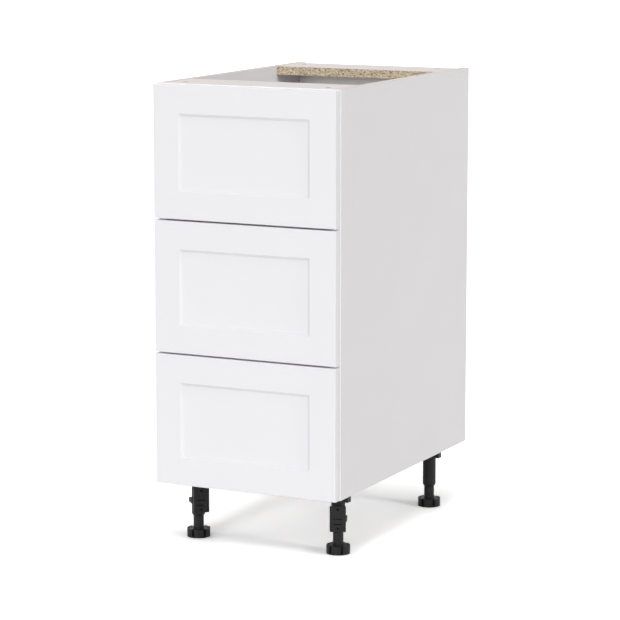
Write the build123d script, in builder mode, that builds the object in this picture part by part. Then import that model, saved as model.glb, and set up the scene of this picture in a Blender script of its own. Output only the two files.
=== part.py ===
from build123d import *
import math
import os

os.makedirs("parts", exist_ok=True)

# Millimetres. The origin is on the floor, under the middle of the closed cabinet.
# -Y is the side with the drawer fronts, and +Z is up.

# Carcass
cabinet_width = 360
carcass_height = 720
carcass_depth = 560
board = 16
rail_depth = 100
back_thickness = 3
back_recess = 21
back_tongue = 6
groove_clearance = 0.1

# Drawer fronts
front_thickness = 16
front_gap = 0.5
front_side_reveal = 1.25
front_shift_x = -1.25
front_top_reveal = 2
front_bottom_reveal = 0
front_spacing = 3
front_frame = 50
recess_depth = 3.5
recess_bevel = 4.5
front_arris = 1.2

# Steel drawer sides
sheet = 1.2
bend = 0.8
drawer_rear_clearance = 36.5
drawer_side_height = 150
runner_space = 14
runner_from_front_bottom = 28
support_width = 13.2
top_fold_width = 11.7
top_fold_drop = 11
track_width = 5.6
track_web = 14
track_setback = 5
fixing_flange_width = 20
fixing_flange_bottom = 30
fixing_flange_height = 104
drawer_back_height = 123

# Roller runners
roller_radius = 8.6
roller_width = 7.8
roller_side_gap = 1.75
axle_radius = 2.5
axle_clearance = 0.05
axle_tip = 0.6
running_gap = 0.3
lip_gap = 0.5
channel_flange_gap = 2.5
channel_lip_side_gap = 0.6
channel_web_front_height = 17
channel_setback = 3
channel_rear_clearance = 37
front_axle_setback = 20
rear_axle_inset = 14
drawer_kept_inside = 125
stop_height = 2.5
stop_length = 4
stop_width = 5

# Adjustable legs
leg_height = 114
leg_inset = 38.5
front_leg_setback = 71
rear_leg_setback = 85
plate_width = 48
plate_length = 72
plate_thickness = 3
plate_corner = 6
collar_radius = 15
collar_height = 16
collar_clearance = 0.15
lug_reach = 22
lug_width = 13
rib_length = 15
rib_width = 2
rib_height = 7
rib_angle = 45
tube_radius = 12.4
tube_bottom = 38.5
tube_top_gap = 0.2
tube_roof = 4
tube_taper_height = 4.5
stem_radius = 9.5
stem_clearance = 0.2
stem_top = 86
foot_radius = 21.3
foot_height = 15.5
foot_notches = 6
foot_notch_width = 4.5
foot_notch_depth = 5
foot_notch_floor = 2

# Plinth clips on the front legs
clip_ring_clearance = 0.3
clip_ring_wall = 2.8
clip_ring_height = 9
clip_ring_drop = 4
clip_mouth = 7.9
clip_lip_length = 5
clip_lip_thickness = 2.2
tongue_width = 15
tongue_thickness = 1.3
tongue_neck_width = 10
tongue_height = 17
tongue_standoff = 2.2
plate_back_gap = 0.1
screw_plate_width = 29
screw_plate_height = 47
screw_plate_thickness = 3
screw_plate_corner = 1.2
screw_plate_hole_radius = 2
screw_plate_hole_spacing = 35
guide_reach = 1.2
guide_wall = 2
guide_hook = 1
guide_gap = 0.2
slot_width = 16
slot_height = 1.8
slot_spacing = 9.6

# Worked out from the sizes above
half_width = cabinet_width / 2
inner_half = half_width - board
carcass_bottom = leg_height
carcass_top = leg_height + carcass_height
total_depth = front_thickness + front_gap + carcass_depth
front_face_y = -total_depth / 2
front_rear_y = front_face_y + front_thickness
carcass_front_y = front_rear_y + front_gap
carcass_rear_y = total_depth / 2
back_rear_y = carcass_rear_y - back_recess
back_front_y = back_rear_y - back_thickness
front_width = cabinet_width - 2 * front_side_reveal
tiers = ("lower", "middle", "upper")
front_reveals = front_top_reveal + front_bottom_reveal + (len(tiers) - 1) * front_spacing
front_height = (carcass_height - front_reveals) / len(tiers)
hands = {"left": -1, "right": 1}

side_outer = inner_half - runner_space
side_inner = side_outer - sheet
side_rear_y = back_front_y - drawer_rear_clearance
drawer_length = side_rear_y - front_rear_y
drawer_travel = drawer_length - drawer_kept_inside
drawer_board_half = side_inner - bend
drawer_back_rear_y = side_rear_y - sheet
drawer_back_front_y = drawer_back_rear_y - board
roller_start = side_outer + roller_side_gap
roller_end = roller_start + roller_width
roller_height = sheet + running_gap + roller_radius
lip_underside = roller_height + roller_radius + lip_gap
track_underside = roller_height + roller_radius + running_gap
channel_web_x = inner_half - sheet
channel_front_y = carcass_front_y + channel_setback
channel_rear_y = back_front_y - channel_rear_clearance
front_axle_y = channel_front_y + front_axle_setback
rear_axle_y = side_rear_y - rear_axle_inset
stop_reach = math.sqrt(roller_radius**2 - (roller_radius + running_gap - stop_height) ** 2)
stop_rear_y = rear_axle_y - drawer_travel - stop_reach - running_gap
stop_front_y = stop_rear_y - stop_length
plate_bottom = leg_height - plate_thickness
collar_bottom = plate_bottom - collar_height
clip_ring_inner = tube_radius + clip_ring_clearance
clip_ring_outer = clip_ring_inner + clip_ring_wall
screw_plate_back = clip_ring_outer + tongue_standoff

above = (Align.CENTER, Align.CENTER, Align.MIN)
upward = (0, 0, 1)

# Each board between the sides: its front and rear edge, and its underside
cross_boards = {
    "bottom_panel": (carcass_front_y, back_front_y, carcass_bottom),
    "front_top_rail": (carcass_front_y, carcass_front_y + rail_depth, carcass_top - board),
    "rear_top_rail": (back_front_y - rail_depth, back_front_y, carcass_top - board),
}

# Each leg: where its axis stands, and how far its foot is turned
front_leg_y = carcass_front_y + front_leg_setback
rear_leg_y = carcass_rear_y - rear_leg_setback
leg_from_middle = half_width - leg_inset
legs = {
    "front_left": (-leg_from_middle, front_leg_y, 0),
    "front_right": (leg_from_middle, front_leg_y, -16),
    "rear_left": (-leg_from_middle, rear_leg_y, 10),
    "rear_right": (leg_from_middle, rear_leg_y, -12),
}

# Each plinth clip: its leg, the height of its middle, and its turn from facing forward
plinth_clips = {
    "left": ("front_left", 71.3, 44),
    "right": ("front_right", 66.5, 23),
}


def keep(piece, node):
    piece.part.label = node
    export_step(piece.part, f"parts/{node}.step")


def facing(x, y, z, direction):
    return Plane(origin=(x, y, z), z_dir=direction)


# An upright plane across the cabinet, with x to the right and y up. A positive
# extrusion from it goes forward, and a negative one goes back.
def upright(y):
    return Plane(origin=(0, y, 0), x_dir=(1, 0, 0), z_dir=(0, -1, 0))


def front_bottom(tier):
    step = front_height + front_spacing
    return carcass_bottom + front_bottom_reveal + tiers.index(tier) * step


def runner_bottom(tier):
    return front_bottom(tier) + runner_from_front_bottom


# Carcass


def side_panel(hand):
    middle_y = (carcass_front_y + carcass_rear_y) / 2
    groove_depth = back_tongue + groove_clearance
    groove_y = (back_front_y + back_rear_y) / 2
    with BuildPart() as panel:
        with BuildSketch(Plane.XY.offset(carcass_bottom)):
            with Locations((hand * (half_width - board / 2), middle_y)):
                Rectangle(board, carcass_depth)
            # the groove that holds the back panel
            with Locations((hand * (inner_half + groove_depth / 2), groove_y)):
                Rectangle(groove_depth, back_thickness + 2 * groove_clearance, mode=Mode.SUBTRACT)
        extrude(amount=carcass_height)
    return panel


def cross_board(node):
    front_y, rear_y, base = cross_boards[node]
    with BuildPart() as piece:
        with BuildSketch(Plane.XY.offset(base)):
            with Locations((0, (front_y + rear_y) / 2)):
                Rectangle(2 * inner_half, rear_y - front_y)
        extrude(amount=board)
    return piece


for hand_name, hand_sign in hands.items():
    keep(side_panel(hand_sign), f"side_panel_{hand_name}")
for board_node in cross_boards:
    keep(cross_board(board_node), board_node)

with BuildPart() as back_panel:
    with BuildSketch(Plane.XY.offset(carcass_bottom)):
        with Locations((0, (back_front_y + back_rear_y) / 2)):
            Rectangle(2 * (inner_half + back_tongue), back_thickness)
    extrude(amount=carcass_height)
keep(back_panel, "back_panel")


# Runner channels, screwed to the side panels, and the rollers of both halves


def runner_channel(tier, hand):
    base = runner_bottom(tier)
    inward = (Align.MAX if hand == 1 else Align.MIN, Align.MIN)
    flange_reach = inner_half - side_outer - channel_flange_gap
    lip_reach = inner_half - side_outer - track_width - channel_lip_side_gap
    with BuildPart() as channel:
        # web and lower flange, which the drawer's rear roller runs on
        with BuildSketch(upright(channel_front_y)):
            with Locations((hand * inner_half, base)):
                Rectangle(sheet, channel_web_front_height, align=inward)
                Rectangle(flange_reach, sheet, align=inward)
        extrude(amount=channel_front_y - channel_rear_y)
        # upper lip, which keeps the rear roller down and is open in front of the stop
        with BuildSketch(upright(stop_front_y)):
            with Locations((hand * inner_half, base)):
                Rectangle(sheet, lip_underside, align=inward)
            with Locations((hand * inner_half, base + lip_underside)):
                Rectangle(lip_reach, sheet, align=inward)
        extrude(amount=stop_front_y - channel_rear_y)
        # the stop that the rear roller meets when the drawer is fully open
        with BuildSketch(Plane.XY.offset(base + sheet)):
            with Locations((hand * (roller_start + roller_end) / 2, (stop_front_y + stop_rear_y) / 2)):
                Rectangle(stop_width, stop_length)
        extrude(amount=stop_height)
        # the pin that the front roller turns on
        with Locations(facing(hand * channel_web_x, front_axle_y, base + roller_height, (-hand, 0, 0))):
            Cylinder(axle_radius, channel_web_x - roller_start + axle_tip, align=above)
    return channel


# The left and right roller on one line across the cabinet
def roller_pair(tier, y):
    z = runner_bottom(tier) + roller_height
    with BuildPart() as rollers:
        for hand in hands.values():
            with Locations(facing(hand * roller_start, y, z, (hand, 0, 0))):
                Cylinder(roller_radius, roller_width, align=above)
        with Locations(facing(0, y, z, (1, 0, 0))):
            Hole(axle_radius + axle_clearance)
    return rollers


for tier_name in tiers:
    for hand_name, hand_sign in hands.items():
        keep(runner_channel(tier_name, hand_sign), f"runner_channel_{tier_name}_{hand_name}")
    keep(roller_pair(tier_name, front_axle_y), f"channel_rollers_{tier_name}")
    keep(roller_pair(tier_name, rear_axle_y), f"drawer_rollers_{tier_name}")


# Drawers


def drawer_front(tier):
    middle_z = front_bottom(tier) + front_height / 2
    recess_width = front_width - 2 * front_frame
    recess_height = front_height - 2 * front_frame
    bevel_angle = math.degrees(math.atan2(recess_bevel, recess_depth))
    with BuildPart() as front:
        with BuildSketch(upright(front_rear_y)):
            with Locations((front_shift_x, middle_z)):
                Rectangle(front_width, front_height)
        extrude(amount=front_thickness)
        fillet(front.faces().sort_by(Axis.Y)[0].edges(), radius=front_arris)
        # the sunk panel, whose bevelled border slopes down from the frame
        with BuildSketch(upright(front_face_y)):
            with Locations((front_shift_x, middle_z)):
                Rectangle(recess_width, recess_height)
        extrude(amount=-recess_depth, taper=bevel_angle, mode=Mode.SUBTRACT)
    return front


def drawer_side(tier, hand):
    base = runner_bottom(tier)
    outward = (Align.MIN if hand == 1 else Align.MAX, Align.MIN)
    inward = (Align.MAX if hand == 1 else Align.MIN, Align.MIN)
    middle = sheet / 2
    web_x = hand * (side_outer - middle)
    fold_x = hand * (side_inner + top_fold_width - middle)
    top_z = base + drawer_side_height
    flange_reach = fixing_flange_width + sheet
    flange_z = base + fixing_flange_bottom + fixing_flange_height / 2
    with BuildPart() as side:
        # one sheet: the ledge under the floor board, the web, and the fold along the top
        with BuildSketch(upright(front_rear_y)):
            with Locations((hand * side_outer, base)):
                Rectangle(support_width, sheet, align=inward)
            with BuildLine():
                FilletPolyline(
                    (web_x, base),
                    (web_x, top_z - middle),
                    (fold_x, top_z - middle),
                    (fold_x, top_z - top_fold_drop),
                    radius=bend + middle,
                )
            trace(line_width=sheet)
        extrude(amount=-drawer_length)
        # the track on its outer face, which runs on the channel's front roller
        with BuildSketch(upright(front_rear_y + track_setback)):
            with Locations((hand * side_outer, base + track_underside)):
                Rectangle(sheet, track_web, align=outward)
                Rectangle(track_width, sheet, align=outward)
        extrude(amount=track_setback - drawer_length)
        # flanges turned in at both ends, against the front and the back board
        for flange_y in (front_rear_y, drawer_back_rear_y):
            with BuildSketch(upright(flange_y)):
                with Locations((hand * (side_outer - flange_reach / 2), flange_z)):
                    Rectangle(flange_reach, fixing_flange_height)
            extrude(amount=-sheet)
        # the pin that the rear roller turns on
        with Locations(facing(hand * side_outer, rear_axle_y, base + roller_height, (hand, 0, 0))):
            Cylinder(axle_radius, roller_end + axle_tip - side_outer, align=above)
    return side


def drawer_bottom(tier):
    with BuildPart() as floor_board:
        with BuildSketch(Plane.XY.offset(runner_bottom(tier) + sheet)):
            with Locations((0, (front_rear_y + drawer_back_rear_y) / 2)):
                Rectangle(2 * drawer_board_half, drawer_back_rear_y - front_rear_y)
        extrude(amount=board)
    return floor_board


def drawer_back(tier):
    with BuildPart() as back_board:
        with BuildSketch(Plane.XY.offset(runner_bottom(tier) + sheet + board)):
            with Locations((0, (drawer_back_front_y + drawer_back_rear_y) / 2)):
                Rectangle(2 * drawer_board_half, board)
        extrude(amount=drawer_back_height)
    return back_board


for tier_name in tiers:
    keep(drawer_front(tier_name), f"drawer_front_{tier_name}")
    keep(drawer_bottom(tier_name), f"drawer_bottom_{tier_name}")
    keep(drawer_back(tier_name), f"drawer_back_{tier_name}")
    for hand_name, hand_sign in hands.items():
        keep(drawer_side(tier_name, hand_sign), f"drawer_side_{tier_name}_{hand_name}")


# Legs: a socket under the bottom panel, a tube clipped into it, and a foot that
# screws in and out of the tube


with BuildPart() as leg_sockets:
    rib_middle = collar_radius + rib_length / 2 - rib_width
    for leg_x, leg_y, foot_turn in legs.values():
        with BuildSketch(Plane.XY.offset(plate_bottom)) as socket_plate:
            with Locations((leg_x, leg_y)):
                Rectangle(plate_width, plate_length)
            chamfer(socket_plate.vertices(), length=plate_corner)
        extrude(amount=plate_thickness)
        # the round collar, and the lugs at its sides
        with BuildSketch(Plane.XY.offset(collar_bottom)):
            with Locations((leg_x, leg_y)):
                Circle(collar_radius)
                Rectangle(2 * lug_reach, lug_width)
        extrude(amount=plate_bottom - collar_bottom)
        # ribs that brace the collar against the plate
        with BuildSketch(Plane.XY.offset(plate_bottom - rib_height)):
            with Locations((leg_x, leg_y)):
                with PolarLocations(rib_middle, 4, start_angle=rib_angle):
                    Rectangle(rib_length, rib_width)
        extrude(amount=rib_height)
        with BuildSketch(Plane.XY.offset(collar_bottom)):
            with Locations((leg_x, leg_y)):
                Circle(tube_radius + collar_clearance)
        extrude(amount=plate_bottom - collar_bottom, mode=Mode.SUBTRACT)
keep(leg_sockets, "leg_sockets")

with BuildPart() as leg_tubes:
    stem_bore = stem_radius + stem_clearance
    tube_top = plate_bottom - tube_top_gap
    for leg_x, leg_y, foot_turn in legs.values():
        with BuildSketch(Plane(origin=(leg_x, leg_y, 0), x_dir=(1, 0, 0), z_dir=(0, -1, 0))):
            with BuildLine():
                Polyline(
                    (stem_bore, tube_bottom),
                    (tube_radius, tube_bottom + tube_taper_height),
                    (tube_radius, tube_top),
                    (0, tube_top),
                    (0, tube_top - tube_roof),
                    (stem_bore, tube_top - tube_roof),
                    close=True,
                )
            make_face()
        revolve(axis=Axis((leg_x, leg_y, 0), upward))
keep(leg_tubes, "leg_tubes")


def leg_foot(leg):
    x, y, turn = legs[leg]
    with BuildPart() as foot:
        with BuildSketch(Plane(origin=(x, y, 0), x_dir=(1, 0, 0), z_dir=(0, -1, 0))):
            with BuildLine():
                Polyline(
                    (0, 0),
                    (foot_radius, 0),
                    (foot_radius, foot_height),
                    (stem_radius, foot_height),
                    (stem_radius, stem_top),
                    (0, stem_top),
                    close=True,
                )
            make_face()
        revolve(axis=Axis((x, y, 0), upward))
        # finger notches round the rim
        with BuildSketch(Plane.XY.offset(foot_notch_floor)):
            with Locations((x, y)):
                with PolarLocations(foot_radius, foot_notches, start_angle=turn - 90):
                    Rectangle(2 * foot_notch_depth, foot_notch_width)
        extrude(amount=foot_height, mode=Mode.SUBTRACT)
    return foot


for leg_name in legs:
    keep(leg_foot(leg_name), f"leg_foot_{leg_name}")


# Plinth clips


def clip_plane(clip, height):
    leg, middle_z, turn = plinth_clips[clip]
    x, y = legs[leg][:2]
    across = (math.cos(math.radians(turn)), math.sin(math.radians(turn)), 0)
    return Plane(origin=(x, y, middle_z + height), x_dir=across, z_dir=upward)


# An upright plane in front of the leg, with x across the clip and y up.
def clip_face_plane(clip, distance):
    level = clip_plane(clip, 0)
    return Plane(origin=level.origin - level.y_dir * distance, x_dir=level.x_dir, z_dir=-level.y_dir)


def plinth_clip(clip):
    tongue_front = screw_plate_back - plate_back_gap
    neck_back = clip_ring_inner + plate_back_gap
    mouth_x = math.sqrt(clip_ring_outer**2 - clip_mouth**2)
    with BuildPart() as piece:
        # a spring ring, open at the back, that snaps round the leg's tube
        with BuildSketch(clip_plane(clip, -clip_ring_height / 2 - clip_ring_drop)):
            Circle(clip_ring_outer)
            Circle(clip_ring_inner, mode=Mode.SUBTRACT)
            with Locations((0, clip_mouth)):
                Rectangle(
                    2 * clip_ring_outer, clip_ring_outer, align=(Align.CENTER, Align.MIN), mode=Mode.SUBTRACT
                )
            with Locations((mouth_x, clip_mouth), (-mouth_x, clip_mouth)):
                Rectangle(clip_lip_length, clip_lip_thickness)
            with Locations((0, -neck_back)):
                Rectangle(tongue_neck_width, tongue_front - neck_back, align=(Align.CENTER, Align.MAX))
        extrude(amount=clip_ring_height)
        # the tongue that slides up into the screw plate's guides
        with BuildSketch(clip_plane(clip, -tongue_height / 2)):
            with Locations((0, -tongue_front)):
                Rectangle(tongue_width, tongue_thickness, align=(Align.CENTER, Align.MIN))
        extrude(amount=tongue_height)
    return piece


def plinth_plate(clip):
    guide_inner = tongue_width / 2 + guide_gap
    guide_depth = tongue_thickness + plate_back_gap + guide_gap
    guide_x = guide_inner + guide_wall / 2
    hook_x = guide_inner + (guide_wall - guide_reach) / 2
    hook_y = guide_depth - screw_plate_back
    screw_half = screw_plate_hole_spacing / 2
    with BuildPart() as plate:
        with BuildSketch(clip_face_plane(clip, screw_plate_back)) as outline:
            Rectangle(screw_plate_width, screw_plate_height)
            chamfer(outline.vertices(), length=screw_plate_corner)
            with Locations((0, -screw_half), (0, screw_half)):
                Circle(screw_plate_hole_radius, mode=Mode.SUBTRACT)
            with Locations((0, 0), (0, -slot_spacing)):
                Rectangle(slot_width, slot_height, mode=Mode.SUBTRACT)
        extrude(amount=screw_plate_thickness)
        # hooked guides on the back that hold the clip's tongue
        with BuildSketch(clip_plane(clip, -tongue_height / 2)):
            with Locations((guide_x, -screw_plate_back), (-guide_x, -screw_plate_back)):
                Rectangle(guide_wall, guide_depth + guide_hook, align=(Align.CENTER, Align.MIN))
            with Locations((hook_x, hook_y), (-hook_x, hook_y)):
                Rectangle(guide_reach + guide_wall, guide_hook, align=(Align.CENTER, Align.MIN))
        extrude(amount=tongue_height)
    return plate


for clip_name in plinth_clips:
    keep(plinth_clip(clip_name), f"plinth_clip_{clip_name}")
    keep(plinth_plate(clip_name), f"plinth_plate_{clip_name}")
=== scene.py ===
import math
import bpy
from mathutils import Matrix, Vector


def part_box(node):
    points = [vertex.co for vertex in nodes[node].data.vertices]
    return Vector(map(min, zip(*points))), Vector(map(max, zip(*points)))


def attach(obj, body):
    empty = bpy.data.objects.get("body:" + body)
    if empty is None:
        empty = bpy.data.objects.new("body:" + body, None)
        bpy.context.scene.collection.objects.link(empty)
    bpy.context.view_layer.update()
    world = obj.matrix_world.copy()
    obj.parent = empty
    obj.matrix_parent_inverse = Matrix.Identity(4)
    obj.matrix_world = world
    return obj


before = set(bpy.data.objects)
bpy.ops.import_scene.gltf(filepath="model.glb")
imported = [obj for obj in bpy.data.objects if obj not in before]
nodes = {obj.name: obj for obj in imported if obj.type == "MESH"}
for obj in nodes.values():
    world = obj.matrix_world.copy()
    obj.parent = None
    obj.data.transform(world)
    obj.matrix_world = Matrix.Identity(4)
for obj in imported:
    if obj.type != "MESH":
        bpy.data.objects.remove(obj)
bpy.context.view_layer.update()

tiers = ("lower", "middle", "upper")
hands = {"left": -1, "right": 1}
print("frame loaded,", len(nodes), "nodes")


# Small helpers for shader and geometry trees

def addNode(tree, kind, inputs=None, **settings):
    node = tree.nodes.new(kind)
    for name, value in settings.items():
        setattr(node, name, value)
    for name, value in (inputs or {}).items():
        if isinstance(value, bpy.types.NodeSocket):
            tree.links.new(value, node.inputs[name])
        else:
            node.inputs[name].default_value = value
    return node


def addMath(tree, operation, *values, clamp=False):
    inputs = dict(enumerate(values))
    return addNode(tree, "ShaderNodeMath", inputs, operation=operation, use_clamp=clamp).outputs[0]


def addRamp(tree, factor, places, colours):
    ramp = addNode(tree, "ShaderNodeValToRGB", {"Fac": factor})
    for element, place, colour in zip(ramp.color_ramp.elements, places, colours):
        element.position = place
        element.color = (*colour, 1)
    return ramp.outputs["Color"]


def mixColours(tree, factor, first, second, blend="MIX"):
    mix = addNode(tree, "ShaderNodeMix", data_type="RGBA", blend_type=blend)
    for socket, value in ((mix.inputs[0], factor), (mix.inputs[6], first), (mix.inputs[7], second)):
        if isinstance(value, bpy.types.NodeSocket):
            tree.links.new(value, socket)
        else:
            socket.default_value = value
    return mix.outputs[2]


def newGroup(name, kind, inputs, outputs):
    tree = bpy.data.node_groups.new(name, kind)
    for label, (socketType, value) in inputs.items():
        socket = tree.interface.new_socket(label, in_out="INPUT", socket_type=socketType)
        if value is not None:
            socket.default_value = value
    for label, socketType in outputs.items():
        tree.interface.new_socket(label, in_out="OUTPUT", socket_type=socketType)
    return tree, tree.nodes.new("NodeGroupInput").outputs, tree.nodes.new("NodeGroupOutput").inputs


def placeGroup(tree, group, **values):
    node = addNode(tree, "ShaderNodeGroup", node_tree=group)
    for name, value in values.items():
        node.inputs[name].default_value = value
    return node.outputs


# Effects that several materials share. The noise of a grain or a cloud stays near the middle of
# its range, so the bands say where a colour starts and ends

cloudBand = (0.3, 0.7)
grainBand = (0.35, 0.65)


def makeGrainGroup():
    inputs = {"Grain Size": ("NodeSocketFloat", 0.001), "Cloud Size": ("NodeSocketFloat", 0.1)}
    outputs = {"Height": "NodeSocketFloat", "Cloud": "NodeSocketFloat"}
    tree, given, result = newGroup("fineGrain", "ShaderNodeTree", inputs, outputs)
    place = addNode(tree, "ShaderNodeTexCoord").outputs["Object"]
    grainScale = addMath(tree, "DIVIDE", 1.0, given["Grain Size"])
    cloudScale = addMath(tree, "DIVIDE", 1.0, given["Cloud Size"])
    grain = addNode(tree, "ShaderNodeTexNoise", {
        "Vector": place, "Scale": grainScale, "Detail": 3.0, "Roughness": 0.6,
    })
    cloud = addNode(tree, "ShaderNodeTexNoise", {
        "Vector": place, "Scale": cloudScale, "Detail": 4.0, "Roughness": 0.55,
    })
    tree.links.new(grain.outputs["Fac"], result["Height"])
    tree.links.new(cloud.outputs["Fac"], result["Cloud"])
    return tree


edgeLook = {"samples": 8, "gain": 6.0}


def makeSoftEdgeGroup(look):
    inputs = {"Radius": ("NodeSocketFloat", 0.0005)}
    outputs = {"Normal": "NodeSocketVector", "Edge": "NodeSocketFloat"}
    tree, given, result = newGroup("softEdge", "ShaderNodeTree", inputs, outputs)
    bevel = addNode(tree, "ShaderNodeBevel", {"Radius": given["Radius"]}, samples=look["samples"])
    rounded = bevel.outputs["Normal"]
    flat = addNode(tree, "ShaderNodeNewGeometry").outputs["Normal"]
    compare = addNode(tree, "ShaderNodeVectorMath", {0: rounded, 1: flat}, operation="DOT_PRODUCT")
    turned = addMath(tree, "SUBTRACT", 1.0, compare.outputs["Value"])
    edge = addMath(tree, "MULTIPLY", turned, look["gain"], clamp=True)
    tree.links.new(rounded, result["Normal"])
    tree.links.new(edge, result["Edge"])
    return tree


chipLook = {
    "squash": (0.7, 0.7, 1.5),
    "bend": 0.0012,
    "fibreScale": 3.0,
    "cellShare": 0.6,
    "fibreShare": 0.55,
    "poreLevel": 0.36,
}


def makeChipboardGroup(look):
    inputs = {
        "Chip Size": ("NodeSocketFloat", 0.0022),
        "Light": ("NodeSocketColor", (0.7, 0.55, 0.38, 1)),
        "Dark": ("NodeSocketColor", (0.2, 0.11, 0.05, 1)),
    }
    outputs = {"Color": "NodeSocketColor", "Height": "NodeSocketFloat"}
    tree, given, result = newGroup("chipboard", "ShaderNodeTree", inputs, outputs)
    place = addNode(tree, "ShaderNodeTexCoord").outputs["Object"]
    mapping = addNode(tree, "ShaderNodeMapping", {"Vector": place, "Scale": look["squash"]})
    squashed = mapping.outputs["Vector"]
    scale = addMath(tree, "DIVIDE", 1.0, given["Chip Size"])
    warp = addNode(tree, "ShaderNodeTexNoise", {"Vector": squashed, "Scale": scale, "Detail": 2.0})
    bent = addNode(tree, "ShaderNodeVectorMath", {
        0: warp.outputs["Color"], "Scale": look["bend"],
    }, operation="SCALE")
    moved = addNode(tree, "ShaderNodeVectorMath", {0: squashed, 1: bent.outputs[0]}, operation="ADD")
    cells = addNode(tree, "ShaderNodeTexVoronoi", {
        "Vector": moved.outputs[0], "Scale": scale, "Randomness": 1.0,
    })
    tint = addNode(tree, "ShaderNodeSeparateColor", {"Color": cells.outputs["Color"]}).outputs[0]
    fibreScale = addMath(tree, "MULTIPLY", scale, look["fibreScale"])
    fibres = addNode(tree, "ShaderNodeTexNoise", {"Vector": squashed, "Scale": fibreScale, "Detail": 4.0})
    cellTone = addMath(tree, "MULTIPLY", tint, look["cellShare"])
    fibreTone = addMath(tree, "MULTIPLY", fibres.outputs["Fac"], look["fibreShare"])
    tone = addMath(tree, "ADD", cellTone, fibreTone)
    speck = addMath(tree, "GREATER_THAN", tone, look["poreLevel"])
    ground = mixColours(tree, tone, given["Dark"], given["Light"])
    pores = mixColours(tree, speck, given["Dark"], ground)
    tree.links.new(pores, result["Color"])
    tree.links.new(addMath(tree, "MULTIPLY", tone, speck), result["Height"])
    return tree


grainGroup = makeGrainGroup()
softEdgeGroup = makeSoftEdgeGroup(edgeLook)
chipboardGroup = makeChipboardGroup(chipLook)

up, down, toFront, toRear = (0, 0, 1), (0, 0, -1), (0, -1, 0), (0, 1, 0)
toLeft, toRight = (-1, 0, 0), (1, 0, 0)
wholeSide, oneSlope = 0.7, 0.985

# 1 on the faces that look towards one of the given directions, and 0 elsewhere

def sideMask(tree, sides, nearness=wholeSide):
    facing = addNode(tree, "ShaderNodeTexCoord").outputs["Normal"]
    mask = addNode(tree, "ShaderNodeValue").outputs[0]
    mask.default_value = 0
    for side in sides:
        along = addNode(tree, "ShaderNodeVectorMath", {0: facing, 1: side}, operation="DOT_PRODUCT")
        found = addMath(tree, "GREATER_THAN", along.outputs["Value"], nearness)
        mask = addMath(tree, "MAXIMUM", mask, found)
    return mask


# One shader for all plain finishes: a tint that drifts, a grain in the surface and soft edges.
# The fronts also have a painted shade on their narrow sides, and on the slopes of the milled border a
# painted shade, save the slope that faces down, which has a painted highlight

def makeFinish(name, look):
    material = bpy.data.materials.new(name)
    material.use_nodes = True
    tree = material.node_tree
    shader = tree.nodes["Principled BSDF"]
    shader.inputs["Metallic"].default_value = look.get("metallic", 0)
    shader.inputs["Specular IOR Level"].default_value = look.get("specular", 0.5)
    shader.inputs["Coat Weight"].default_value = look.get("coat", 0)
    sizes = {"Grain Size": look["grainSize"], "Cloud Size": look["cloudSize"]}
    grain = placeGroup(tree, grainGroup, **sizes)
    edge = placeGroup(tree, softEdgeGroup, Radius=look["edgeRadius"])
    colour = addRamp(tree, grain["Cloud"], cloudBand, (look["shade"], look["tint"]))
    # the narrow left and right sides take a darker tint, a painted shade
    if "narrowSideShade" in look:
        colour = mixColours(tree, sideMask(tree, (toLeft, toRight)), colour, look["narrowSideShade"])
    # each slope of the milled border takes its own tint: painted shade, and a painted highlight on the slope
    # that faces down
    for side, tint in look.get("milledSlopeShading", {}).items():
        colour = mixColours(tree, sideMask(tree, (side,), oneSlope), colour, tint)
    # the edges take their own tint: wear and dirt on the back sheet and the rollers, a painted highlight on
    # the arrises of the fronts and the black plastic, and a lighter rim on the metal finishes
    rubAndHighlight = addMath(tree, "MULTIPLY", edge["Edge"], look["edgeWearAndHighlight"])
    rubbedAndHighlighted = mixColours(tree, rubAndHighlight, colour, (*look["edgeWearAndHighlightTint"], 1))
    rough = addNode(tree, "ShaderNodeMapRange", {
        "Value": grain["Cloud"], "From Min": cloudBand[0], "From Max": cloudBand[1],
        "To Min": look["roughness"] - look["roughDrift"], "To Max": look["roughness"] + look["roughDrift"],
    })
    bump = addNode(tree, "ShaderNodeBump", {
        "Height": grain["Height"], "Normal": edge["Normal"],
        "Strength": look["grainStrength"], "Distance": look["grainDepth"],
    })
    tree.links.new(rubbedAndHighlighted, shader.inputs["Base Color"])
    tree.links.new(rough.outputs["Result"], shader.inputs["Roughness"])
    tree.links.new(bump.outputs["Normal"], shader.inputs["Normal"])
    return material


# Board with a white face. On the sides that rawSides names, its cut edge shows the chips,
# on edgedSides it has a pale strip that turns brown along its edges, and on tapedHighlightSides white edging
# whose brighter tint is partly a painted highlight on its arris

boardLook = {
    "face": (0.79, 0.775, 0.775),
    "faceShade": (0.775, 0.757, 0.757),
    "chipLight": (0.82, 0.71, 0.53, 1),
    "chipDark": (0.20, 0.13, 0.075, 1),
    "chipSize": 0.0021,
    "strip": (0.75, 0.665, 0.625),
    "stripShade": (0.69, 0.60, 0.555),
    "stripBorder": (0.21, 0.155, 0.12, 1),
    "stripBorderWidth": 0.0015,
    # white edging, brighter than the face: partly a painted highlight on its arris
    "tapeAndHighlight": (0.92, 0.915, 0.92, 1),
    "roughness": 0.42,
    "specular": 0.3,
    "rawRoughness": 0.9,
    "edgeRadius": 0.0004,
    "grainSize": 0.0007,
    "cloudSize": 0.16,
    "grainShare": 0.1,
    "bumpStrength": 0.5,
    "bumpDepth": 0.0003,
}


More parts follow.
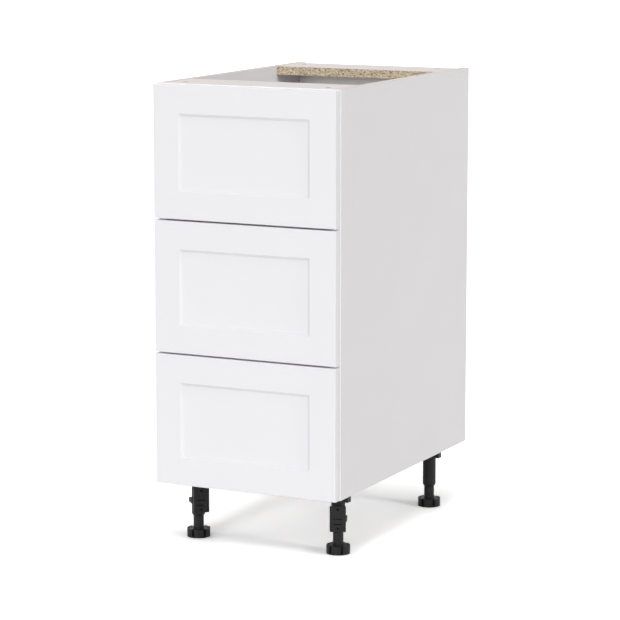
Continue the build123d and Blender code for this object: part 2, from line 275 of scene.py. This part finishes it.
def makeBoard(name, look, rawSides, edgedSides=(), tapedHighlightSides=()):
    material = bpy.data.materials.new(name)
    material.use_nodes = True
    tree = material.node_tree
    shader = tree.nodes["Principled BSDF"]
    shader.inputs["Specular IOR Level"].default_value = look["specular"]
    raw = sideMask(tree, rawSides)
    edged = sideMask(tree, edgedSides)
    tapedHighlight = sideMask(tree, tapedHighlightSides)
    sizes = {"Grain Size": look["grainSize"], "Cloud Size": look["cloudSize"]}
    grain = placeGroup(tree, grainGroup, **sizes)
    edge = placeGroup(tree, softEdgeGroup, Radius=look["edgeRadius"])
    chips = placeGroup(tree, chipboardGroup, **{
        "Chip Size": look["chipSize"], "Light": look["chipLight"], "Dark": look["chipDark"],
    })
    border = placeGroup(tree, softEdgeGroup, Radius=look["stripBorderWidth"])
    face = addRamp(tree, grain["Cloud"], cloudBand, (look["faceShade"], look["face"]))
    strip = addRamp(tree, grain["Height"], grainBand, (look["stripShade"], look["strip"]))
    bordered = mixColours(tree, border["Edge"], strip, look["stripBorder"])
    # the white edging's tint is partly a painted highlight on its arris
    faceOrTapeHighlight = mixColours(tree, tapedHighlight, face, look["tapeAndHighlight"])
    covered = mixColours(tree, edged, faceOrTapeHighlight, bordered)
    tree.links.new(mixColours(tree, raw, covered, chips["Color"]), shader.inputs["Base Color"])
    rough = addNode(tree, "ShaderNodeMapRange", {
        "Value": raw, "To Min": look["roughness"], "To Max": look["rawRoughness"],
    })
    tree.links.new(rough.outputs["Result"], shader.inputs["Roughness"])
    fine = addMath(tree, "MULTIPLY", grain["Height"], look["grainShare"])
    coarse = addMath(tree, "MULTIPLY", chips["Height"], raw)
    bump = addNode(tree, "ShaderNodeBump", {
        "Height": addMath(tree, "ADD", fine, coarse), "Normal": edge["Normal"],
        "Strength": look["bumpStrength"], "Distance": look["bumpDepth"],
    })
    tree.links.new(bump.outputs["Normal"], shader.inputs["Normal"])
    return material


# the rails are the same board with a darker, pinker face, whose darkness is painted shade on their tops
railShadedLook = dict(boardLook, face=(0.765, 0.71, 0.69), faceShade=(0.75, 0.69, 0.67))
sideBoard = makeBoard("sideBoard", boardLook, (down, toRear), (up,), (toFront,))
frontRailBoard = makeBoard("frontRailBoard", railShadedLook, (toRear,), (), (toFront,))
rearRailBoard = makeBoard("rearRailBoard", railShadedLook, (toFront, toRear))
bottomBoard = makeBoard("bottomBoard", boardLook, (toRear,), (), (toFront,))
drawerFloorBoard = makeBoard("drawerFloorBoard", boardLook, (toFront, toRear))
drawerBackBoard = makeBoard("drawerBackBoard", boardLook, (toLeft, toRight), (), (up,))

frontFoil = makeFinish("frontFoil", {
    "tint": (0.89, 0.88, 0.905), "shade": (0.88, 0.87, 0.895),
    # the lighter edge tint is a painted highlight on the arrises
    "edgeWearAndHighlightTint": (0.93, 0.925, 0.94), "edgeWearAndHighlight": 0.4,
    # darker tint on the narrow sides, a painted shade
    "narrowSideShade": (0.80, 0.79, 0.81, 1),
    # painted shade on the slopes of the milled border that face up, right and left, and a painted highlight
    # on the slope that faces down
    "milledSlopeShading": {
        (0, -0.79, 0.61): (0.775, 0.765, 0.785, 1), (0, -0.79, -0.61): (0.91, 0.90, 0.925, 1),
        (0.61, -0.79, 0): (0.86, 0.85, 0.87, 1), (-0.61, -0.79, 0): (0.745, 0.735, 0.755, 1),
    },
    "roughness": 0.36, "roughDrift": 0.03, "grainSize": 0.0009, "cloudSize": 0.2,
    "grainStrength": 0.25, "grainDepth": 0.00004, "edgeRadius": 0.0006, "specular": 0.45,
})
backSheet = makeFinish("backSheet", {
    "tint": (0.85, 0.825, 0.80), "shade": (0.83, 0.805, 0.78), "edgeWearAndHighlightTint": (0.5, 0.4, 0.3), "edgeWearAndHighlight": 0.2,
    "roughness": 0.5, "roughDrift": 0.04, "grainSize": 0.0012, "cloudSize": 0.12,
    "grainStrength": 0.3, "grainDepth": 0.00006, "edgeRadius": 0.0003,
})
powderCoat = makeFinish("powderCoat", {
    "tint": (0.72, 0.725, 0.72), "shade": (0.69, 0.695, 0.69), "edgeWearAndHighlightTint": (0.8, 0.8, 0.8), "edgeWearAndHighlight": 0.35,
    "roughness": 0.38, "roughDrift": 0.05, "grainSize": 0.0006, "cloudSize": 0.07,
    "grainStrength": 0.4, "grainDepth": 0.00005, "edgeRadius": 0.0003,
})
rollerNylon = makeFinish("rollerNylon", {
    "tint": (0.76, 0.75, 0.70), "shade": (0.66, 0.65, 0.60), "edgeWearAndHighlightTint": (0.5, 0.49, 0.46), "edgeWearAndHighlight": 0.4,
    "roughness": 0.34, "roughDrift": 0.08, "grainSize": 0.0005, "cloudSize": 0.012,
    "grainStrength": 0.3, "grainDepth": 0.00004, "edgeRadius": 0.0005,
})
blackPlastic = makeFinish("blackPlastic", {
    "tint": (0.019, 0.0184, 0.019), "shade": (0.012, 0.0116, 0.012),
    # the lighter edge tint is a painted highlight on the edges
    "edgeWearAndHighlightTint": (0.04, 0.039, 0.039), "edgeWearAndHighlight": 0.5,
    "roughness": 0.46, "roughDrift": 0.07, "grainSize": 0.0006, "cloudSize": 0.018,
    "grainStrength": 0.4, "grainDepth": 0.00006, "edgeRadius": 0.0005, "specular": 0.16,
})
zincPlate = makeFinish("zincPlate", {
    "tint": (0.62, 0.61, 0.58), "shade": (0.48, 0.47, 0.45), "edgeWearAndHighlightTint": (0.75, 0.74, 0.72), "edgeWearAndHighlight": 0.5,
    "roughness": 0.34, "roughDrift": 0.08, "grainSize": 0.0004, "cloudSize": 0.004,
    "grainStrength": 0.3, "grainDepth": 0.00003, "edgeRadius": 0.0002, "metallic": 1,
})
camAlloy = makeFinish("camAlloy", {
    "tint": (0.34, 0.32, 0.30), "shade": (0.22, 0.205, 0.19),
    "edgeWearAndHighlightTint": (0.45, 0.43, 0.40), "edgeWearAndHighlight": 0.4,
    "roughness": 0.5, "roughDrift": 0.08, "grainSize": 0.0005, "cloudSize": 0.005,
    "grainStrength": 0.5, "grainDepth": 0.00006, "edgeRadius": 0.0002, "metallic": 0.8,
})
print("materials made")

nodeFinishes = {
    "side_panel": sideBoard,
    "bottom_panel": bottomBoard,
    "front_top_rail": frontRailBoard,
    "rear_top_rail": rearRailBoard,
    "back_panel": backSheet,
    "runner_channel": powderCoat,
    "leg_": blackPlastic,
    "plinth_": blackPlastic,
    "drawer_front": frontFoil,
    "drawer_bottom": drawerFloorBoard,
    "drawer_back": drawerBackBoard,
    "drawer_side": powderCoat,
    "channel_rollers": rollerNylon,
    "drawer_rollers": rollerNylon,
}
for nodeName, node in nodes.items():
    start = next(key for key in nodeFinishes if nodeName.startswith(key))
    node.data.materials.clear()
    node.data.materials.append(nodeFinishes[start])
print("finishes set on the frame")


# Heads of screws, rivets and fittings: one tree that stands a head on each point,
# along the point's own direction, and turns each cross by a chance angle

headSpin = {"most": 1.5, "seed": 7}


def makeHeadTree(spinLook):
    inputs = {
        "Points": ("NodeSocketGeometry", None),
        "Rim Radius": ("NodeSocketFloat", 0.0035),
        "Top Radius": ("NodeSocketFloat", 0.0026),
        "Rim Height": ("NodeSocketFloat", 0.0005),
        "Height": ("NodeSocketFloat", 0.0012),
        "Cross Length": ("NodeSocketFloat", 0.003),
        "Cross Width": ("NodeSocketFloat", 0.0007),
        "Cross Depth": ("NodeSocketFloat", 0.0006),
        "Sides": ("NodeSocketInt", 24),
        "Finish": ("NodeSocketMaterial", None),
    }
    outputs = {"Heads": "NodeSocketGeometry"}
    tree, given, result = newGroup("fastenerHeads", "GeometryNodeTree", inputs, outputs)
    rim = addNode(tree, "GeometryNodeMeshCylinder", {
        "Vertices": given["Sides"], "Radius": given["Rim Radius"], "Depth": given["Rim Height"],
    })
    halfRim = addMath(tree, "MULTIPLY", given["Rim Height"], 0.5)
    rimPlace = addNode(tree, "ShaderNodeCombineXYZ", {"Z": halfRim}).outputs[0]
    raisedRim = addNode(tree, "GeometryNodeTransform", {
        "Geometry": rim.outputs["Mesh"], "Translation": rimPlace,
    })
    crownHeight = addMath(tree, "SUBTRACT", given["Height"], given["Rim Height"])
    crown = addNode(tree, "GeometryNodeMeshCone", {
        "Vertices": given["Sides"], "Radius Top": given["Top Radius"],
        "Radius Bottom": given["Rim Radius"], "Depth": crownHeight,
    })
    crownPlace = addNode(tree, "ShaderNodeCombineXYZ", {"Z": given["Rim Height"]}).outputs[0]
    raisedCrown = addNode(tree, "GeometryNodeTransform", {
        "Geometry": crown.outputs["Mesh"], "Translation": crownPlace,
    })
    depthTwice = addMath(tree, "MULTIPLY", given["Cross Depth"], 2.0)
    crossPlace = addNode(tree, "ShaderNodeCombineXYZ", {"Z": given["Height"]}).outputs[0]
    cuts = []
    for length, width in (("Cross Length", "Cross Width"), ("Cross Width", "Cross Length")):
        size = addNode(tree, "ShaderNodeCombineXYZ", {
            "X": given[length], "Y": given[width], "Z": depthTwice,
        }).outputs[0]
        bar = addNode(tree, "GeometryNodeMeshCube", {"Size": size}).outputs["Mesh"]
        raisedBar = addNode(tree, "GeometryNodeTransform", {"Geometry": bar, "Translation": crossPlace})
        cuts.append(raisedBar.outputs[0])
    # rim and crown first become one solid, and the two bars are cut out of it
    whole = addNode(tree, "GeometryNodeMeshBoolean", operation="UNION", solver="EXACT")
    tree.links.new(raisedRim.outputs[0], whole.inputs["Mesh 2"])
    tree.links.new(raisedCrown.outputs[0], whole.inputs["Mesh 2"])
    headCut = addNode(tree, "GeometryNodeMeshBoolean", {
        "Mesh 1": whole.outputs["Mesh"],
    }, operation="DIFFERENCE", solver="EXACT")
    for bar in cuts:
        tree.links.new(bar, headCut.inputs["Mesh 2"])
    facing = addNode(tree, "GeometryNodeInputNamedAttribute", {"Name": "facing"}, data_type="FLOAT_VECTOR")
    aimed = addNode(tree, "FunctionNodeAlignRotationToVector", {
        "Vector": facing.outputs["Attribute"],
    }, axis="Z")
    spin = addNode(tree, "FunctionNodeRandomValue", {
        "Min": 0.0, "Max": spinLook["most"], "Seed": spinLook["seed"],
    }, data_type="FLOAT")
    spinValue = next(socket for socket in spin.outputs if socket.enabled)
    twist = addNode(tree, "FunctionNodeAxisAngleToRotation", {"Axis": up, "Angle": spinValue})
    turned = addNode(tree, "FunctionNodeRotateRotation", {
        "Rotation": aimed.outputs["Rotation"], "Rotate By": twist.outputs["Rotation"],
    }, rotation_space="LOCAL")
    standing = addNode(tree, "GeometryNodeInstanceOnPoints", {
        "Points": given["Points"], "Instance": headCut.outputs["Mesh"],
        "Rotation": turned.outputs["Rotation"],
    })
    real = addNode(tree, "GeometryNodeRealizeInstances", {"Geometry": standing.outputs["Instances"]})
    coated = addNode(tree, "GeometryNodeSetMaterial", {
        "Geometry": real.outputs["Geometry"], "Material": given["Finish"],
    })
    tree.links.new(coated.outputs["Geometry"], result["Heads"])
    return tree


headTree = makeHeadTree(headSpin)


def socketNames(tree):
    return {item.name: item.identifier for item in tree.interface.items_tree if item.in_out == "INPUT"}


def standHeads(name, places, sizes, finish, body):
    points = bpy.data.meshes.new(name + "Points")
    points.from_pydata([place for place, direction in places], [], [])
    facing = points.attributes.new("facing", "FLOAT_VECTOR", "POINT")
    for number, (place, direction) in enumerate(places):
        facing.data[number].vector = direction
    host = bpy.data.objects.new(name + "Points", points)
    bpy.context.scene.collection.objects.link(host)
    modifier = host.modifiers.new("heads", "NODES")
    modifier.node_group = headTree
    identifiers = socketNames(headTree)
    for label, value in sizes.items():
        modifier[identifiers[label]] = value
    modifier[identifiers["Finish"]] = finish
    evaluated = host.evaluated_get(bpy.context.evaluated_depsgraph_get())
    mesh = bpy.data.meshes.new_from_object(evaluated)
    mesh.name = name
    host.modifiers.remove(modifier)
    bpy.data.objects.remove(host)
    piece = bpy.data.objects.new(name, mesh)
    bpy.context.scene.collection.objects.link(piece)
    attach(piece, body)
    return piece


screwHeads = {"Rim Radius": 0.0034, "Top Radius": 0.0024, "Rim Height": 0.0004, "Height": 0.0012,
              "Cross Length": 0.0034, "Cross Width": 0.0007, "Cross Depth": 0.0006, "Sides": 20}
rivetHeads = {"Rim Radius": 0.0040, "Top Radius": 0.0032, "Rim Height": 0.0005, "Height": 0.0009,
              "Cross Length": 0.0012, "Cross Width": 0.0012, "Cross Depth": 0.0003, "Sides": 28}
camHeads = {"Rim Radius": 0.0050, "Top Radius": 0.0047, "Rim Height": 0.00006, "Height": 0.0001,
            "Cross Length": 0.0062, "Cross Width": 0.0013, "Cross Depth": 0.00008, "Sides": 32}
fittings = {
    "plateScrewX": 0.016, "plateScrewY": 0.028,
    "channelScrewPlaces": (0.034, 0.258, 0.450),
    "flangeScrewInset": 0.010, "flangeScrewHeights": (0.050, 0.114),
    "ledgeScrewInset": 0.006, "ledgeScrewPlaces": (0.060, 0.250, 0.440),
    "sheet": 0.0012, "socketPlate": 0.003, "rollerWidth": 0.0078, "boardGap": 0.0008, "rivetGap": 0.0001,
    "camFromEnd": 0.024, "camFromEdge": 0.032, "bottomCamSpread": 0.120,
}


def middleOf(nodeName):
    low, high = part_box(nodeName)
    return (low + high) / 2


cabinetScrews, cabinetRivets = [], []
drawerScrews = {tier: [] for tier in tiers}
drawerRivets = {tier: [] for tier in tiers}
for leg in ("front_left", "front_right", "rear_left", "rear_right"):
    axis = middleOf(f"leg_foot_{leg}")
    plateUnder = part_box("bottom_panel")[0].z - fittings["socketPlate"]
    for sx in (-1, 1):
        for sy in (-1, 1):
            spot = (axis.x + sx * fittings["plateScrewX"], axis.y + sy * fittings["plateScrewY"], plateUnder)
            cabinetScrews.append((spot, down))
for tier in tiers:
    rollerLow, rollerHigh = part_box(f"channel_rollers_{tier}")
    rearLow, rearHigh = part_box(f"drawer_rollers_{tier}")
    axleZ = (rollerLow.z + rollerHigh.z) / 2
    frontAxleY = (rollerLow.y + rollerHigh.y) / 2
    rearAxleY = (rearLow.y + rearHigh.y) / 2
    frontRivetX = rollerHigh.x - fittings["rollerWidth"] - fittings["rivetGap"]
    rearRivetX = rearHigh.x + fittings["rivetGap"]
    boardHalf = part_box(f"drawer_bottom_{tier}")[1].x + fittings["boardGap"]
    for hand, sign in hands.items():
        channelLow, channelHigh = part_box(f"runner_channel_{tier}_{hand}")
        webInner = max(abs(channelLow.x), abs(channelHigh.x)) - fittings["sheet"]
        for place in fittings["channelScrewPlaces"]:
            cabinetScrews.append(((sign * webInner, channelLow.y + place, axleZ), (-sign, 0, 0)))
        cabinetRivets.append(((sign * frontRivetX, frontAxleY, axleZ), (-sign, 0, 0)))
        drawerRivets[tier].append(((sign * rearRivetX, rearAxleY, axleZ), (sign, 0, 0)))
        sideLow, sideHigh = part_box(f"drawer_side_{tier}_{hand}")
        for height in fittings["flangeScrewHeights"]:
            flangeX = sign * (boardHalf - fittings["flangeScrewInset"])
            drawerScrews[tier].append(((flangeX, sideLow.y + fittings["sheet"], sideLow.z + height), toRear))
            drawerScrews[tier].append(((flangeX, sideHigh.y, sideLow.z + height), toRear))
        for place in fittings["ledgeScrewPlaces"]:
            ledgeX = sign * (boardHalf - fittings["ledgeScrewInset"])
            drawerScrews[tier].append(((ledgeX, sideLow.y + place, sideLow.z), down))

camSpots = []  # on both rails and under the bottom panel
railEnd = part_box("front_top_rail")[1].x - fittings["camFromEnd"]
frontRailLow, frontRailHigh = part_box("front_top_rail")
rearRailLow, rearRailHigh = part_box("rear_top_rail")
bottomLow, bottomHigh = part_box("bottom_panel")
for sign in hands.values():
    camSpots.append(((sign * railEnd, frontRailLow.y + fittings["camFromEdge"], frontRailHigh.z), up))
    camSpots.append(((sign * railEnd, rearRailHigh.y - fittings["camFromEdge"], rearRailHigh.z), up))
    for spread in (-fittings["bottomCamSpread"], fittings["bottomCamSpread"]):
        camSpots.append(((sign * railEnd, spread, bottomLow.z), down))

standHeads("carcassScrews", cabinetScrews, screwHeads, zincPlate, "cabinet")
standHeads("channelRivets", cabinetRivets, rivetHeads, zincPlate, "cabinet")
standHeads("railCams", camSpots, camHeads, camAlloy, "cabinet")
for tier in tiers:
    drawer = f"drawer_{tier}"
    standHeads(f"drawerScrews.{tier}", drawerScrews[tier], screwHeads, zincPlate, drawer)
    standHeads(f"drawerRivets.{tier}", drawerRivets[tier], rivetHeads, zincPlate, drawer)
print("screws, rivets and fittings placed")


# Floor, light and camera. What the camera sees, straight or in gloss or glass, is a white room,
# while the light that reaches the object stays plain

def seenRays(tree):
    path = addNode(tree, "ShaderNodeLightPath").outputs
    mirrored = addMath(tree, "MAXIMUM", path["Is Glossy Ray"], path["Is Transmission Ray"])
    return addMath(tree, "MAXIMUM", path["Is Camera Ray"], mirrored)


floorLook = {
    "size": 60.0,
    "tint": (0.56, 0.56, 0.56, 1),
    "seenTint": (1.72, 1.72, 1.72, 1),
    "seenGlow": 0.03,
}


def makeFloor(look):
    mesh = bpy.data.meshes.new("studioFloor")
    half = look["size"] / 2
    corners = [(-half, -half, 0), (half, -half, 0), (half, half, 0), (-half, half, 0)]
    mesh.from_pydata(corners, [], [(0, 1, 2, 3)])
    floor = bpy.data.objects.new("studioFloor", mesh)
    bpy.context.scene.collection.objects.link(floor)
    material = bpy.data.materials.new("studioFloor")
    material.use_nodes = True
    tree = material.node_tree
    tree.nodes.remove(tree.nodes["Principled BSDF"])
    seen = seenRays(tree)
    colour = mixColours(tree, seen, look["tint"], look["seenTint"])
    matte = addNode(tree, "ShaderNodeBsdfDiffuse", {"Color": colour})
    strength = addMath(tree, "MULTIPLY", seen, look["seenGlow"])
    glow = addNode(tree, "ShaderNodeEmission", {"Color": (1, 1, 1, 1), "Strength": strength})
    both = addNode(tree, "ShaderNodeAddShader", {0: matte.outputs[0], 1: glow.outputs[0]})
    tree.links.new(both.outputs[0], tree.nodes["Material Output"].inputs["Surface"])
    mesh.materials.append(material)
    return floor


makeFloor(floorLook)

lightLook = {
    "sky": 0.30,
    "top": {"strength": 0.98, "angle": 45, "from": (0.12, -0.32, 1.0)},
    "front": {"strength": 1.18, "angle": 14, "from": (-0.02, -0.98, 0.14)},
    "right": {"strength": 1.24, "angle": 20, "from": (0.99, -0.10, 0.26)},
    "left": {"strength": 0.35, "angle": 30, "from": (-0.70, -0.45, 0.50)},
    "rear": {"strength": 1.45, "angle": 30, "from": (-0.70, 0.71, 0.07)},
}
world = bpy.data.worlds.new("studioSky")
bpy.context.scene.world = world
world.use_nodes = True
skyTree = world.node_tree
skyStrength = addNode(skyTree, "ShaderNodeMapRange", {
    "Value": seenRays(skyTree), "To Min": lightLook["sky"], "To Max": 1.0,
})
skyTree.nodes["Background"].inputs["Color"].default_value = (1, 1, 1, 1)
skyTree.links.new(skyStrength.outputs["Result"], skyTree.nodes["Background"].inputs["Strength"])


def addSun(name, look):
    lamp = bpy.data.lights.new(name, "SUN")
    lamp.energy = look["strength"]
    lamp.angle = math.radians(look["angle"])
    sun = bpy.data.objects.new(name, lamp)
    sun.rotation_euler = Vector(look["from"]).to_track_quat("Z", "Y").to_euler()
    bpy.context.scene.collection.objects.link(sun)
    return sun


for lampName in ("top", "front", "right", "left"):
    addSun(lampName + "Light", lightLook[lampName])
# the lamp behind the object stays out of its gloss, so that the top keeps its own colour
addSun("rearLight", lightLook["rear"]).visible_glossy = False

cameraLook = {"place": (2.1562, -4.4172, 1.2130), "turn": 26.156, "dip": 9.398, "lens": 156.26, "sensor": 36}
cameraData = bpy.data.cameras.new("camera")
cameraData.lens = cameraLook["lens"]
cameraData.sensor_width = cameraLook["sensor"]
camera = bpy.data.objects.new("camera", cameraData)
camera.location = cameraLook["place"]
camera.rotation_euler = (math.radians(90 - cameraLook["dip"]), 0, math.radians(cameraLook["turn"]))
bpy.context.scene.collection.objects.link(camera)
bpy.context.scene.camera = camera
bpy.context.scene.view_settings.view_transform = "Standard"
print("floor, light and camera placed")
